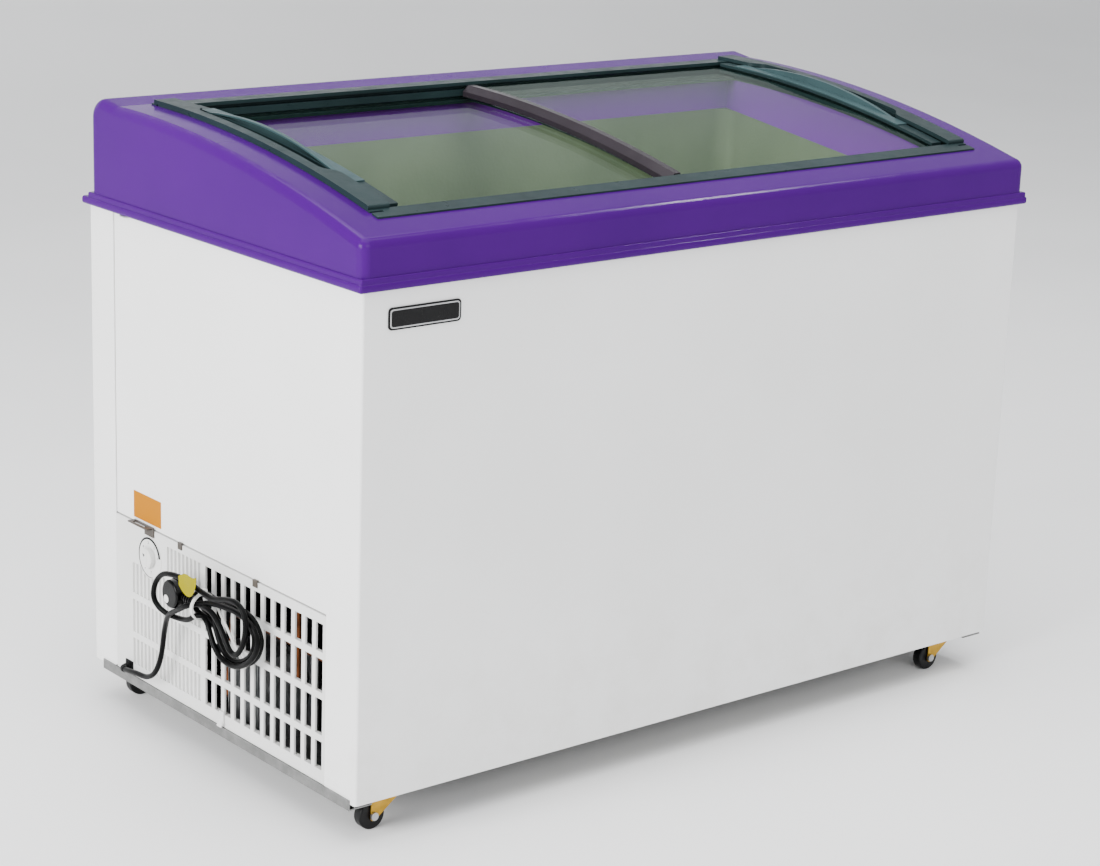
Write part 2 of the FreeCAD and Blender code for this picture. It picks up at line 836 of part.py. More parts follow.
# ---------------------------------------------------------------- grille and small fittings
GRILLE_X = (f"-{HALF_WIDTH}", f"-{HALF_WIDTH} + grille_thick")
GRILLE_FOOT = 55.4
SLOT_Z = (72, 254)
SLOT_PITCH = 22
SLOT_WIDE = 14.6
SLOTS = 12
BLIND_START = 36
BLIND_PITCH = 9.3
BLIND_WIDE = 6.5
BLINDS = 18
GLAND_Y = (201, 219)
grille_plate = box(
    "grille_plate",
    GRILLE_X,
    ("grille_front + 0.1", "grille_rear - 0.1"),
    (GRILLE_FOOT, "bay_top - 1.6"),
)
slots = [
    box(
        f"slot_{i}",
        (f"-{HALF_WIDTH} - 1", f"-{HALF_WIDTH} + grille_thick + 1"),
        (f"grille_front + 6 + {i * SLOT_PITCH}", f"grille_front + 6 + {i * SLOT_PITCH} + {SLOT_WIDE}"),
        SLOT_Z,
    )
    for i in range(SLOTS)
]
blinds = [
    box(
        f"blind_{i}",
        (f"-{HALF_WIDTH} - 1", f"-{HALF_WIDTH} + 3"),
        (f"{BLIND_START + i * BLIND_PITCH}", f"{BLIND_START + i * BLIND_PITCH + BLIND_WIDE}"),
        SLOT_Z,
    )
    for i in range(BLINDS)
]
THROUGH_X = (f"-{HALF_WIDTH} - 1", f"-{HALF_WIDTH} + grille_thick + 1")
hollow_x = (f"-{HALF_WIDTH} + 2.6", f"-{HALF_WIDTH} + grille_thick + 1")
hollow_back = box("hollow_back", hollow_x, (-233, 32), SLOT_Z)
gland_notch = box("gland_notch", THROUGH_X, GLAND_Y, (57, 73))
bars = [
    box(f"bar_{i}", (f"-{HALF_WIDTH}", f"-{HALF_WIDTH} + 5"), ("grille_front + 3", 208), (z, z + 8.5))
    for i, z in enumerate((107.5, 160.5, 210.5))
]
dial_field = box("dial_field", GRILLE_X, ("dial_y - dial_radius - 13", 208), (215, 256))
SPINDLE = 3
OUTSIDE_DIAL = (f"-{HALF_WIDTH} - 2", "dial_y", "dial_z")
spindle_hole = cylinder("spindle_hole", "x", OUTSIDE_DIAL, f"{SPINDLE} + running_gap", "grille_thick + 4")
grille_frame = cut("grille_frame", grille_plate, *slots, *blinds, hollow_back, gland_notch)
grille_joined = fuse("grille_joined", grille_frame, *bars, dial_field)
keep(cut("grille_cut", grille_joined, spindle_hole), "ventilation_grille")

scale_disc = cylinder("scale_disc", "x", (f"-{HALF_WIDTH} - 0.8", "dial_y", "dial_z"), "dial_radius", 0.8)
scale_hole = cylinder("scale_hole", "x", OUTSIDE_DIAL, "knob_radius + 3", 4)
keep(cut("scale_ring", scale_disc, scale_hole), "thermostat_scale")

knob_grip = cylinder("knob_grip", "x", (f"-{HALF_WIDTH} - 6.6", "dial_y", "dial_z"), "knob_radius", 6.1)
knob_rib = box(
    "knob_rib",
    (f"-{HALF_WIDTH} - 7", f"-{HALF_WIDTH} - 6"),
    ("dial_y - 2", "dial_y + 2"),
    ("dial_z - knob_radius + 1", "dial_z + knob_radius - 1"),
)
knob_spindle = cylinder("knob_spindle", "x", (f"-{HALF_WIDTH} - 1", "dial_y", "dial_z"), SPINDLE, 16)
keep(fuse("knob_joined", knob_grip, knob_rib, knob_spindle), "thermostat_knob")

switch_box = box(
    "switch_box",
    (f"-{HALF_WIDTH} + 7.2", "-500"),
    ("dial_y - 22", "dial_y + 22"),
    ("dial_z - 20", "dial_z + 20"),
)
switch_bore = cylinder("switch_bore", "x", ("-541", "dial_y", "dial_z"), f"{SPINDLE} + running_gap", 22)
keep(cut("switch_cut", switch_box, switch_bore), "thermostat_body")

LABEL_X = (f"-{HALF_WIDTH} + panel_recess - 0.6", f"-{HALF_WIDTH} + panel_recess")
keep(box("info_plate", LABEL_X, (133, 199), (272, 307)), "info_label")
badge_blank = box("badge_blank", (-505, -404), (f"-{HALF_DEPTH} - 1.6", f"-{HALF_DEPTH}"), (614, 640))
keep(fillet("badge", badge_blank, 5, lambda edge: along(edge, V(0, 1, 0))), "badge_plate")

bracket_blank = box("bracket_blank", (-547, f"-{HALF_WIDTH} + panel_recess"), (199, 216), (659.4, 660.9))
keep(
    fillet("bracket", bracket_blank, 4, lambda edge: along(edge, V(0, 0, 1)) and edge.BoundBox.XMax < -546),
    "upper_bracket",
)

# A tray-like steel catch sticks out under the side panel, with its tongue folded down over the grille.
latch_tray = box("latch_tray", (-549, f"-{HALF_WIDTH} + panel_recess"), (150, 197), (267.1, 268.9))
latch_hollow = box("latch_hollow", (-546.5, -541), (158, 190), (266, 270))
latch_tongue = box("latch_tongue", (f"-{HALF_WIDTH} - 1.7", f"-{HALF_WIDTH} - 0.1"), (146, 168), (257, 268.9))
keep(cut("latch_cut", fuse("latch_bent", latch_tray, latch_tongue), latch_hollow), "grille_latch")

screws = [
    cylinder(f"screw_{i}_{z}", "y", (x, HALF_DEPTH, z), 3.5, 1.2)
    for i, x in enumerate((-500, -170, 170, 500))
    for z in (90, 630)
]
keep(fuse("screws", *screws), "panel_screws")

gland_blank = box("gland_blank", (-541.5, -531), (GLAND_Y[0] + 0.2, GLAND_Y[1] - 0.2), (58.2, 72.8))
gland_slot = box("gland_slot", (-545, -525), (204.5, 215.5), (60, 70))
keep(cut("gland_cut", gland_blank, gland_slot), "cord_gland")

# ---------------------------------------------------------------- compressor bay
PAN_TOP = "body_floor + sheet_metal"
COMPRESSOR = (-420, 135)
can_blank = cylinder("can_blank", "z", (*COMPRESSOR, 76), 72, 150)
can = fillet("can", can_blank, 34, lambda edge: edge.BoundBox.ZLength < 0.1)
can_seam = cylinder("can_seam", "z", (*COMPRESSOR, 148), 74.5, 4)
can_plate = box("can_plate", (-500, -340), (60, 210), (73, 77))
relay_case = box("relay_case", (-350, -320), (115, 155), (120, 165))
keep(fuse("compressor_joined", can, can_seam, can_plate, relay_case), "compressor")
feet = [
    cylinder(f"foot_{i}", "z", (x, y, PAN_TOP), 11, 21.5)
    for i, (x, y) in enumerate(((-488, 72), (-352, 72), (-488, 198), (-352, 198)))
]
keep(fuse("feet", *feet), "compressor_feet")

FAN_Y, FAN_Z = -43, 112
CONDENSER_X = (-524, -470)
FINS = 17
FIN_GAP = 4.6
fins = [
    box(f"fin_{i}", CONDENSER_X, (f"{-82 + i * FIN_GAP}", f"{-82 + i * FIN_GAP + 0.8}"), (60, 160))
    for i in range(FINS)
]
rows = [(x, z) for x in (-512, -482) for z in (75, 98, 121, 144)]
tubes = [cylinder(f"condenser_tube_{i}", "y", (x, -89, z), 3.5, 92) for i, (x, z) in enumerate(rows)]
ends = [
    box(f"condenser_end_{i}", (-525, -469), (y, y + 1.2), (PAN_TOP, 162)) for i, y in enumerate((-85, -5))
]
keep(fuse("condenser_joined", *fins, *tubes, *ends), "condenser")

RING_X = (-462, -452)
ring_plate = box("ring_plate", RING_X, (FAN_Y - 52, FAN_Y + 52), (PAN_TOP, FAN_Z + 54))
ring_hole = cylinder("ring_hole", "x", (-465, FAN_Y, FAN_Z), 47, 20)
arms = [
    box("arm_across", (-455, -452), (FAN_Y - 50, FAN_Y + 50), (FAN_Z - 5, FAN_Z + 5)),
    box("arm_up", (-455, -452), (FAN_Y - 5, FAN_Y + 5), (FAN_Z - 50, FAN_Z + 50)),
]
motor_hole = cylinder("motor_hole", "x", (-470, FAN_Y, FAN_Z), 8, 30)
ring_cut = cut("ring_cut", ring_plate, ring_hole)
keep(cut("bracket_cut", fuse("ring_arms", ring_cut, *arms), motor_hole), "fan_bracket")
motor_case = cylinder("motor_case", "x", (-452, FAN_Y, FAN_Z), 27, 46)
motor_shaft = cylinder("motor_shaft", "x", (-466, FAN_Y, FAN_Z), 3, 14.5)
keep(fuse("motor_joined", motor_case, motor_shaft), "fan_motor")

hub = cylinder("fan_hub", "x", (-467, FAN_Y, FAN_Z), 9, 8)
hub_bore = cylinder("hub_bore", "x", (-466.5, FAN_Y, FAN_Z), "3 + running_gap", 9)
BLADES = 5
blades = []
for i in range(BLADES):
    blade = box(f"blade_{i}", (-464.5, -463), (FAN_Y - 11, FAN_Y + 11), (FAN_Z + 6, FAN_Z + 43))
    corner = V(-464.5, FAN_Y - 11, FAN_Z + 6)
    turn = FreeCAD.Rotation(V(1, 0, 0), 360 * i / BLADES)
    for letter in "xyz":
        blade.setExpression(f"Placement.Base.{letter}", None)
    blade.Placement = FreeCAD.Placement(V(0, FAN_Y, FAN_Z), turn).multiply(
        FreeCAD.Placement(corner - V(0, FAN_Y, FAN_Z), FreeCAD.Rotation())
    )
    blades.append(blade)
keep(cut("fan_cut", fuse("fan_joined", hub, *blades), hub_bore), "fan_blade")

drier_can = cylinder("drier_can", "z", (-508, 16, 78), 9, 62)
keep(fillet("drier", drier_can, 6, lambda edge: edge.BoundBox.ZLength < 0.1), "filter_drier")

PIPE = 3
DISCHARGE = [
    (-420, 130, 222),
    (-420, 130, 248),
    (-420, -140, 248),
    (-512, -140, 248),
    (-512, -140, 144),
    (-512, -91, 144),
]
LIQUID = [
    (-508, 16, 138),
    (-508, 16, 190),
    (-508, -200, 190),
    (-508, -200, 100),
    (-420, -200, 100),
    (-420, -262, 100),
]
SUCTION = [(-420, 200, 120), (-420, 255, 120), (-500, 255, 120), (-500, 255, 200), (-330, 255, 200)]
pipes = [tube_along(run, PIPE, 14)[0] for run in (DISCHARGE, LIQUID, SUCTION)]
keep(solid("pipes", Part.makeCompound(pipes)), "refrigerant_pipes")

# ---------------------------------------------------------------- casters
PLATE_HALF = 19
FORK_HALF = 9.8
LEG_THICK = 1.6
FORK_TOP = 43.6
KINGPIN = 4
CORNERS = {"front_left": (-1, -1), "front_right": (1, -1), "rear_left": (-1, 1), "rear_right": (1, 1)}

plates = []
for corner, (x_side, y_side) in CORNERS.items():
    x = f"{x_side}*caster_x"
    y = f"{y_side}*caster_y"
    axle_x = f"{x} - caster_trail"
    plates += [
        box(
            f"{corner}_plate",
            (f"{x} - {PLATE_HALF}", f"{x} + {PLATE_HALF}"),
            (f"{y} - {PLATE_HALF}", f"{y} + {PLATE_HALF}"),
            ("body_floor - 2", "body_floor"),
        ),
        cylinder(f"{corner}_race", "z", (x, y, FORK_TOP + 0.4), 14, "body_floor - 46"),
        cylinder(f"{corner}_kingpin", "z", (x, y, 39), KINGPIN, "body_floor - 39"),
        cylinder(f"{corner}_kingpin_head", "z", (x, y, 38), 6.5, 3),
    ]
    leg_outline = [
        (f"{x} - 20.5", FORK_TOP),
        (f"{x} + 20", FORK_TOP),
        (f"{x} + 20", "38.5"),
        (f"{axle_x} + 5.2", "wheel_radius - 3.5"),
        (f"{axle_x} + 2", "wheel_radius - 6"),
        (f"{axle_x} - 2", "wheel_radius - 6"),
        (f"{axle_x} - 4.5", "wheel_radius - 3.5"),
    ]
    legs = [
        pad_y(f"{corner}_leg_{place}", (f"{y} + {low}", f"{y} + {low + LEG_THICK}"), leg_outline)
        for place, low in (("near", -FORK_HALF), ("far", FORK_HALF - LEG_THICK))
    ]
    fork_crown = box(
        f"{corner}_fork_crown",
        (f"{x} - 20.5", f"{x} + 20"),
        (f"{y} - {FORK_HALF}", f"{y} + {FORK_HALF}"),
        (FORK_TOP - 2.2, FORK_TOP),
    )
    axle = (axle_x, f"{y} - 15", "wheel_radius")
    kingpin_hole = cylinder(f"{corner}_kingpin_hole", "z", (x, y, 35), f"{KINGPIN} + running_gap", 12)
    axle_hole = cylinder(f"{corner}_axle_hole", "y", axle, "axle_radius", 30)
    fork_blank = fuse(f"{corner}_fork_blank", fork_crown, *legs)
    keep(cut(f"{corner}_fork_cut", fork_blank, kingpin_hole, axle_hole), f"{corner}_caster_fork")

    tread_start = (axle_x, f"{y} - wheel_width/2", "wheel_radius")
    tread = cylinder(f"{corner}_tread", "y", tread_start, "wheel_radius", "wheel_width")
    rounded_tread = fillet(f"{corner}_tyre", tread, 2.5, lambda edge: edge.BoundBox.YLength < 0.1)
    wheel_bore = cylinder(f"{corner}_wheel_bore", "y", axle, "axle_radius + running_gap", 30)
    keep(cut(f"{corner}_wheel_cut", rounded_tread, wheel_bore), f"{corner}_caster_wheel")

    bolt = cylinder(f"{corner}_bolt", "y", (axle_x, f"{y} - 13", "wheel_radius"), "axle_radius", 26)
    heads = [
        cylinder(f"{corner}_bolt_{place}", "y", (axle_x, f"{y} + {start}", "wheel_radius"), 5, 3)
        for place, start in (("head", -FORK_HALF - 3), ("nut", FORK_HALF))
    ]
    keep(fuse(f"{corner}_axle_joined", bolt, *heads), f"{corner}_caster_axle")

keep(fuse("plates_joined", *plates), "caster_plates")

# ---------------------------------------------------------------- mains lead, hanging tied in a hank
LEAD = [
    (-505, 210, 65),
    (-554, 210, 65),
    (-561, 160, 72),
    (-562, 112, 88),
    (-562, 90, 138),
    (-568, 70, 184),
    (-574, 38, 196),
    (-578, 4, 212),
    (-574, -7, 219),
]
LOOP = [
    (-571, -4, 206),
    (-578, 33, 188),
    (-581, 84, 186),
    (-580, 88, 234),
    (-578, 48, 251),
    (-578, 3, 257),
    (-577, -38, 243),
]
for label, route in (("power_cord", LEAD), ("cord_loop", LOOP)):
    bar, length, radii = tube_along(route, size("cord_radius"))
    print(f"{label} {length:.0f} long, arcs {min(radii):.1f} to {max(radii):.1f}")
    keep(solid(f"{label}_run", bar), label)

HANK_OUTLINE = [
    (-22, 224),
    (-54, 238),
    (-94, 250),
    (-114, 249),
    (-135, 236),
    (-146, 216),
    (-136, 192),
    (-114, 173),
    (-94, 164),
    (-70, 161),
    (-52, 166),
    (-41, 178),
    (-31, 198),
    (-22, 212),
]
hank_turns = pad_x("hank_turns", (-577.5, -549.5), HANK_OUTLINE)
hank_neck = cylinder("hank_neck", "y", (-563.5, -34, 217), 13, 29.5)
keep(fuse("hank_joined", hank_turns, hank_neck), "cord_hank")

PLUG_Y, PLUG_Z = 42, 220
plug_disc = cylinder("plug_disc", "x", (-582, PLUG_Y, PLUG_Z), 18, 19)
plug_body = fillet("plug_body", plug_disc, 3, lambda edge: edge.BoundBox.XLength < 0.1)
plug_neck = cylinder("plug_neck", "y", (-571, -2, PLUG_Z), 5.5, 28)
plug_lead = cylinder("plug_lead", "y", (-571, -12, PLUG_Z), "cord_radius", 16)
plug_ribs = [cylinder(f"plug_rib_{i}", "y", (-571, -1 + 5 * i, PLUG_Z), 6.8, 2.4) for i in range(5)]
plug_pins = [
    cylinder(f"plug_pin_{i}", "x", (-563, PLUG_Y, PLUG_Z + z), 2.4, 19) for i, z in enumerate((-9.5, 9.5))
]
keep(fuse("plug_joined", plug_body, plug_neck, plug_lead, *plug_ribs, *plug_pins), "power_plug")

TIE = (-565, -13, 216)
tie_band = cylinder("tie_band", "y", TIE, 18, 5)
tie_hole = cylinder("tie_hole", "y", (-565, -14, 216), 16.5, 7)
tie_tail = box("tie_tail", (-548.4, -547.2), (0, 4), (-89, 0))
for letter in "xyz":
    tie_tail.setExpression(f"Placement.Base.{letter}", None)
tie_tail.Placement = FreeCAD.Placement(V(-548.4, -12, 213), FreeCAD.Rotation(V(1, 0, 0), 133.2))
tie_head = box("tie_head", (-570, -562), (-15, -6), (232, 239))
tie_ring = cut("tie_ring", tie_band, tie_hole)
keep(fuse("tie_joined", tie_ring, tie_tail, tie_head), "cable_tie")

TAG = [(16, 252), (0, 260), (-27, 263), (-16, 253), (-18, 244), (-30, 236), (-11, 231), (5, 233), (14, 242)]
keep(pad_x("tag_sheet", (-585.6, -585), TAG), "cord_tag")

# ---------------------------------------------------------------- checks and files
doc.recompute()
for thing in doc.Objects:
    if "Invalid" in thing.State or "Error" in thing.State:
        raise RuntimeError(f"{thing.Name} failed: {thing.State}")
os.makedirs("parts", exist_ok=True)
for thing in finished:
    if thing.Shape.isNull() or not thing.Shape.isValid():
        raise RuntimeError(f"{thing.Label} has no valid shape")
    thing.Shape.exportStep(f"parts/{thing.Label}.step")
print(f"{len(finished)} sub-parts")
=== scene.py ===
import math

import bmesh
import bpy
from mathutils import Matrix, Vector


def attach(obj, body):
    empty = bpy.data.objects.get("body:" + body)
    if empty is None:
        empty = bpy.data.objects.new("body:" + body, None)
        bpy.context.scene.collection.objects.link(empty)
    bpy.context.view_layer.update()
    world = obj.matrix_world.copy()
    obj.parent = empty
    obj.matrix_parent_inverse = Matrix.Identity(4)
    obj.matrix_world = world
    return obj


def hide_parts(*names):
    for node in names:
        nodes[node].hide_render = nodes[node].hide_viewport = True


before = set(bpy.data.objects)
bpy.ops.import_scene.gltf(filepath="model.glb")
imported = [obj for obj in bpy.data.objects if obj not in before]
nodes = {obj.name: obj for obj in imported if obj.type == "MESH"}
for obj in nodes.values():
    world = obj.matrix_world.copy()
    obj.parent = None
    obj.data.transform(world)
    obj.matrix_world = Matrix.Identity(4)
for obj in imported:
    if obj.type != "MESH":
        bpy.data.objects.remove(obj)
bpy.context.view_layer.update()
MM = 0.001


# ---------------------------------------------------------------- camera
def make_camera():
    """A camera at the angle, place and roll that show the front and the grille side."""
    azimuth, down, roll = (math.radians(a) for a in (39.542, 15.610, 1.998))
    ahead = Vector((math.sin(azimuth) * math.cos(down), math.cos(azimuth) * math.cos(down), -math.sin(down)))
    right = ahead.cross(Vector((0, 0, 1))).normalized()
    up = right.cross(ahead)
    side = right * math.cos(roll) + up * math.sin(roll)
    top = up * math.cos(roll) - right * math.sin(roll)
    data = bpy.data.cameras.new("camera")
    data.sensor_width = 36
    data.lens = 86.6
    data.clip_end = 100
    camera = bpy.data.objects.new("camera", data)
    bpy.context.scene.collection.objects.link(camera)
    turn = Matrix((side, top, -ahead)).transposed().to_4x4()
    camera.matrix_world = Matrix.Translation((-2.184, -2.623, 1.302)) @ turn
    bpy.context.scene.camera = camera


make_camera()


# ---------------------------------------------------------------- materials
def material(name, colour, rough, metallic=0.0, coat=0.0, specular=0.5):
    """A Principled material and the tools to give it detail."""
    mat = bpy.data.materials.new(name)
    mat.use_nodes = True
    tree = mat.node_tree
    shader = tree.nodes["Principled BSDF"]
    shader.inputs["Base Color"].default_value = (*colour, 1)
    shader.inputs["Roughness"].default_value = rough
    shader.inputs["Metallic"].default_value = metallic
    shader.inputs["Coat Weight"].default_value = coat
    shader.inputs["Coat Roughness"].default_value = 0.08
    shader.inputs["Specular IOR Level"].default_value = specular
    mat.diffuse_color = (*colour, 1)
    return mat, tree, shader


def node(tree, kind, **values):
    made = tree.nodes.new(kind)
    for key, value in values.items():
        if key in made.inputs:
            made.inputs[key].default_value = value
        else:
            setattr(made, key, value)
    return made


def place(tree, stretch=(1, 1, 1)):
    """The row frame's coordinates in metres, stretched along the axes."""
    coords = node(tree, "ShaderNodeTexCoord")
    mapping = node(tree, "ShaderNodeMapping")
    mapping.inputs["Scale"].default_value = stretch
    tree.links.new(coords.outputs["Object"], mapping.inputs["Vector"])
    return mapping.outputs["Vector"]


def noise(tree, vector, scale, detail=2.0, rough=0.5):
    made = node(tree, "ShaderNodeTexNoise", Scale=scale, Detail=detail, Roughness=rough)
    tree.links.new(vector, made.inputs["Vector"])
    return made.outputs["Fac"]


def remap(tree, value, low, high, start=0.3, stop=0.7):
    made = node(tree, "ShaderNodeMapRange")
    made.inputs["From Min"].default_value = start
    made.inputs["From Max"].default_value = stop
    made.inputs["To Min"].default_value = low
    made.inputs["To Max"].default_value = high
    tree.links.new(value, made.inputs["Value"])
    return made.outputs["Result"]


def blend_colour(tree, value, first, second, start=0.35, stop=0.65):
    ramp = node(tree, "ShaderNodeValToRGB")
    ramp.color_ramp.elements[0].position = start
    ramp.color_ramp.elements[0].color = (*first, 1)
    ramp.color_ramp.elements[1].position = stop
    ramp.color_ramp.elements[1].color = (*second, 1)
    tree.links.new(value, ramp.inputs["Fac"])
    return ramp.outputs["Color"]


def over(tree, below, above, amount):
    """Colour above laid over colour below by amount, a socket."""
    mix = node(tree, "ShaderNodeMix", data_type="RGBA")
    tree.links.new(amount, mix.inputs["Factor"])
    tree.links.new(below, mix.inputs[6])
    if isinstance(above, tuple):
        mix.inputs[7].default_value = (*above, 1)
    else:
        tree.links.new(above, mix.inputs[7])
    return mix.outputs[2]


def bump(tree, shader, height, strength, distance):
    made = node(tree, "ShaderNodeBump", Strength=strength, Distance=distance)
    tree.links.new(height, made.inputs["Height"])
    tree.links.new(made.outputs["Normal"], shader.inputs["Normal"])


def surface(name, colour, rough, spread=0.08, shade=0.9, grain=400, depth=0.0002, strength=0.15, **kind):
    """A moulded or painted surface: soft colour drift, uneven gloss and a fine grain."""
    mat, tree, shader = material(name, colour, rough, **kind)
    vector = place(tree)
    drift = noise(tree, vector, 9, 4)
    darker = tuple(c * shade for c in colour)
    tree.links.new(blend_colour(tree, drift, darker, colour), shader.inputs["Base Color"])
    patch = noise(tree, vector, 45, 5, 0.6)
    tree.links.new(remap(tree, patch, rough - spread, rough + spread), shader.inputs["Roughness"])
    bump(tree, shader, noise(tree, vector, grain, 2), strength, depth)
    return mat


def brushed(name, colour, rough, along="x", **kind):
    """A rolled or brushed metal with long fine scratches."""
    mat, tree, shader = material(name, colour, rough, metallic=1.0, **kind)
    stretch = {"x": (1, 60, 60), "y": (60, 1, 60), "z": (60, 60, 1)}[along]
    scratch = noise(tree, place(tree, stretch), 14, 6, 0.7)
    spots = noise(tree, place(tree), 60, 4, 0.6)
    darker = tuple(c * 0.72 for c in colour)
    tree.links.new(blend_colour(tree, spots, darker, colour), shader.inputs["Base Color"])
    tree.links.new(remap(tree, scratch, rough - 0.1, rough + 0.15), shader.inputs["Roughness"])
    bump(tree, shader, scratch, 0.12, 0.0002)
    return mat


def painted_steel(name):
    """Pre-painted white sheet: faint rolled texture and a little grime near the floor."""
    mat, tree, shader = material(name, (0.80, 0.80, 0.79), 0.34, specular=0.4)
    vector = place(tree)
    base = blend_colour(tree, noise(tree, vector, 3.5, 5, 0.55), (0.84, 0.84, 0.83), (0.88, 0.88, 0.875))
    height = node(tree, "ShaderNodeSeparateXYZ")
    tree.links.new(vector, height.inputs["Vector"])
    low = remap(tree, height.outputs["Z"], 1.0, 0.0, 0.05, 0.30)
    grime = node(tree, "ShaderNodeMath", operation="MULTIPLY")
    tree.links.new(low, grime.inputs[0])
    tree.links.new(remap(tree, noise(tree, vector, 16, 6, 0.65), 0.0, 0.35, 0.45, 0.7), grime.inputs[1])
    tree.links.new(over(tree, base, (0.66, 0.64, 0.59), grime.outputs[0]), shader.inputs["Base Color"])
    tree.links.new(remap(tree, noise(tree, vector, 30, 4), 0.28, 0.42), shader.inputs["Roughness"])
    bump(tree, shader, noise(tree, vector, 700, 2), 0.06, 0.0001)
    return mat


def moulded_purple(name):
    """Glossy purple plastic, lighter on the inner wall round the mouth: that lighter purple is painted light
    standing in for light that barely reaches the wall.
    """
    mat, tree, shader = material(name, (0.048, 0.0, 0.130), 0.18, specular=0.10)
    vector = place(tree)
    outer = blend_colour(tree, noise(tree, vector, 5, 4), (0.045, 0.0, 0.124), (0.051, 0.0, 0.136))
    split = node(tree, "ShaderNodeSeparateXYZ")
    tree.links.new(vector, split.inputs["Vector"])
    reach = node(tree, "ShaderNodeMath", operation="ABSOLUTE")
    tree.links.new(split.outputs["X"], reach.inputs[0])
    # mask of the inner wall round the mouth, where a lighter purple is laid on as painted light
    inner_wall_painted_light = remap(tree, reach.outputs[0], 1.0, 0.0, 0.4772, 0.4782)
    for way, start in ((1.0, -0.2472), (-1.0, -0.2202)):
        along = node(tree, "ShaderNodeMath", operation="MULTIPLY")
        tree.links.new(split.outputs["Y"], along.inputs[0])
        along.inputs[1].default_value = way
        both = node(tree, "ShaderNodeMath", operation="MULTIPLY")
        tree.links.new(inner_wall_painted_light, both.inputs[0])
        tree.links.new(remap(tree, along.outputs[0], 0.0, 1.0, start, start + 0.001), both.inputs[1])
        inner_wall_painted_light = both.outputs[0]
    tree.links.new(over(tree, outer, (0.25, 0.03, 0.50), inner_wall_painted_light), shader.inputs["Base Color"])
    tree.links.new(remap(tree, noise(tree, vector, 35, 3), 0.15, 0.22), shader.inputs["Roughness"])
    bump(tree, shader, noise(tree, vector, 300, 2), 0.015, 0.0001)
    return mat


def embossed_liner(name):
    """Aluminium tank sheet, embossed with shallow dimples, with duller patches."""
    mat, tree, shader = material(name, (0.25, 0.29, 0.18), 0.42, metallic=0.15, specular=0.3)
    vector = place(tree)
    tree.links.new(
        blend_colour(tree, noise(tree, vector, 6, 5), (0.18, 0.215, 0.13), (0.25, 0.29, 0.185)),
        shader.inputs["Base Color"],
    )
    cells = node(tree, "ShaderNodeTexVoronoi", Scale=220.0, feature="SMOOTH_F1")
    tree.links.new(vector, cells.inputs["Vector"])
    tree.links.new(remap(tree, noise(tree, vector, 25, 4), 0.34, 0.52), shader.inputs["Roughness"])
    bump(tree, shader, cells.outputs["Distance"], 0.35, 0.0006)
    return mat


def clear_glass(name):
    """Toughened pane: see-through face-on, with a sky-bright sheen at a slant and a faint green body."""
    mat = bpy.data.materials.new(name)
    mat.use_nodes = True
    tree = mat.node_tree
    tree.nodes.remove(tree.nodes["Principled BSDF"])
    through = node(tree, "ShaderNodeBsdfTransparent", Color=(0.92, 0.965, 0.93, 1))
    shine = node(tree, "ShaderNodeBsdfGlossy", Color=(0.70, 0.80, 0.74, 1), Roughness=0.03)
    facing = node(tree, "ShaderNodeLayerWeight", Blend=0.5)
    steep = node(tree, "ShaderNodeMath", operation="POWER")
    tree.links.new(facing.outputs["Facing"], steep.inputs[0])
    steep.inputs[1].default_value = 4.5
    vector = place(tree)
    smear = remap(tree, noise(tree, vector, 7, 5, 0.6), 0.02, 0.10, 0.4, 0.75)
    tree.links.new(smear, shine.inputs["Roughness"])
    mix = node(tree, "ShaderNodeMixShader")
    tree.links.new(remap(tree, steep.outputs[0], 0.02, 0.36, 0.0, 1.0), mix.inputs["Fac"])
    tree.links.new(through.outputs[0], mix.inputs[1])
    tree.links.new(shine.outputs[0], mix.inputs[2])
    tree.links.new(mix.outputs[0], tree.nodes["Material Output"].inputs["Surface"])
    return mat


white_steel = painted_steel("white_steel")
purple = moulded_purple("purple_plastic")
dark_frame = surface(
    "dark_frame", (0.016, 0.032, 0.034), 0.34, spread=0.08, shade=0.7, grain=500, specular=0.12
)
# The grips' teal is partly their own hue and partly painted light: it is lighter than the frames to make up
# for shade on their upright faces.
grip_teal_painted_light = surface(
    "grip_teal_painted_light", (0.042, 0.080, 0.086), 0.36, spread=0.08, shade=0.75, grain=500, specular=0.15
)
smoky = surface("smoky_profile", (0.022, 0.017, 0.022), 0.22, spread=0.05, shade=0.8, grain=500, specular=0.2)
glass = clear_glass("lid_glass")
liner = embossed_liner("tank_sheet")
zinc = brushed("galvanised", (0.27, 0.27, 0.265), 0.42, "x")
steel = brushed("plated_steel", (0.50, 0.51, 0.52), 0.36, "z")
latch_steel = surface(
    "dull_plate", (0.075, 0.062, 0.050), 0.42, spread=0.1, shade=0.6, grain=500, specular=0.3
)
fins = brushed("fin_stock", (0.50, 0.51, 0.52), 0.40, "z")
aluminium = brushed("aluminium_tube", (0.62, 0.63, 0.65), 0.35, "x")
# Copper kept far darker than bare copper: painted shade standing in for the dark behind the grille, where the
# tubes show only as glints.
copper = brushed("copper_tube_painted_shade", (0.19, 0.062, 0.024), 0.36, "z")
yellow_zinc = brushed("yellow_zinc", (0.50, 0.29, 0.035), 0.36, "z")
grille_white = surface("grille_plastic", (0.74, 0.74, 0.725), 0.40, shade=0.95, grain=600)
fitting_white = surface("fitting_plastic", (0.76, 0.76, 0.74), 0.36, shade=0.95, grain=600)
enamel = surface("black_enamel", (0.007, 0.007, 0.008), 0.30, shade=0.7, grain=300, specular=0.3)
rubber = surface(
    "black_rubber", (0.005, 0.005, 0.0055), 0.6, shade=0.7, grain=900, strength=0.3, specular=0.12
)
tyre = surface("wheel_plastic", (0.004, 0.004, 0.0045), 0.36, shade=0.7, grain=500, specular=0.2)
sheath = surface(
    "cord_sheath", (0.0012, 0.0012, 0.0014), 0.36, shade=0.7, grain=700, strength=0.2, specular=0.08
)
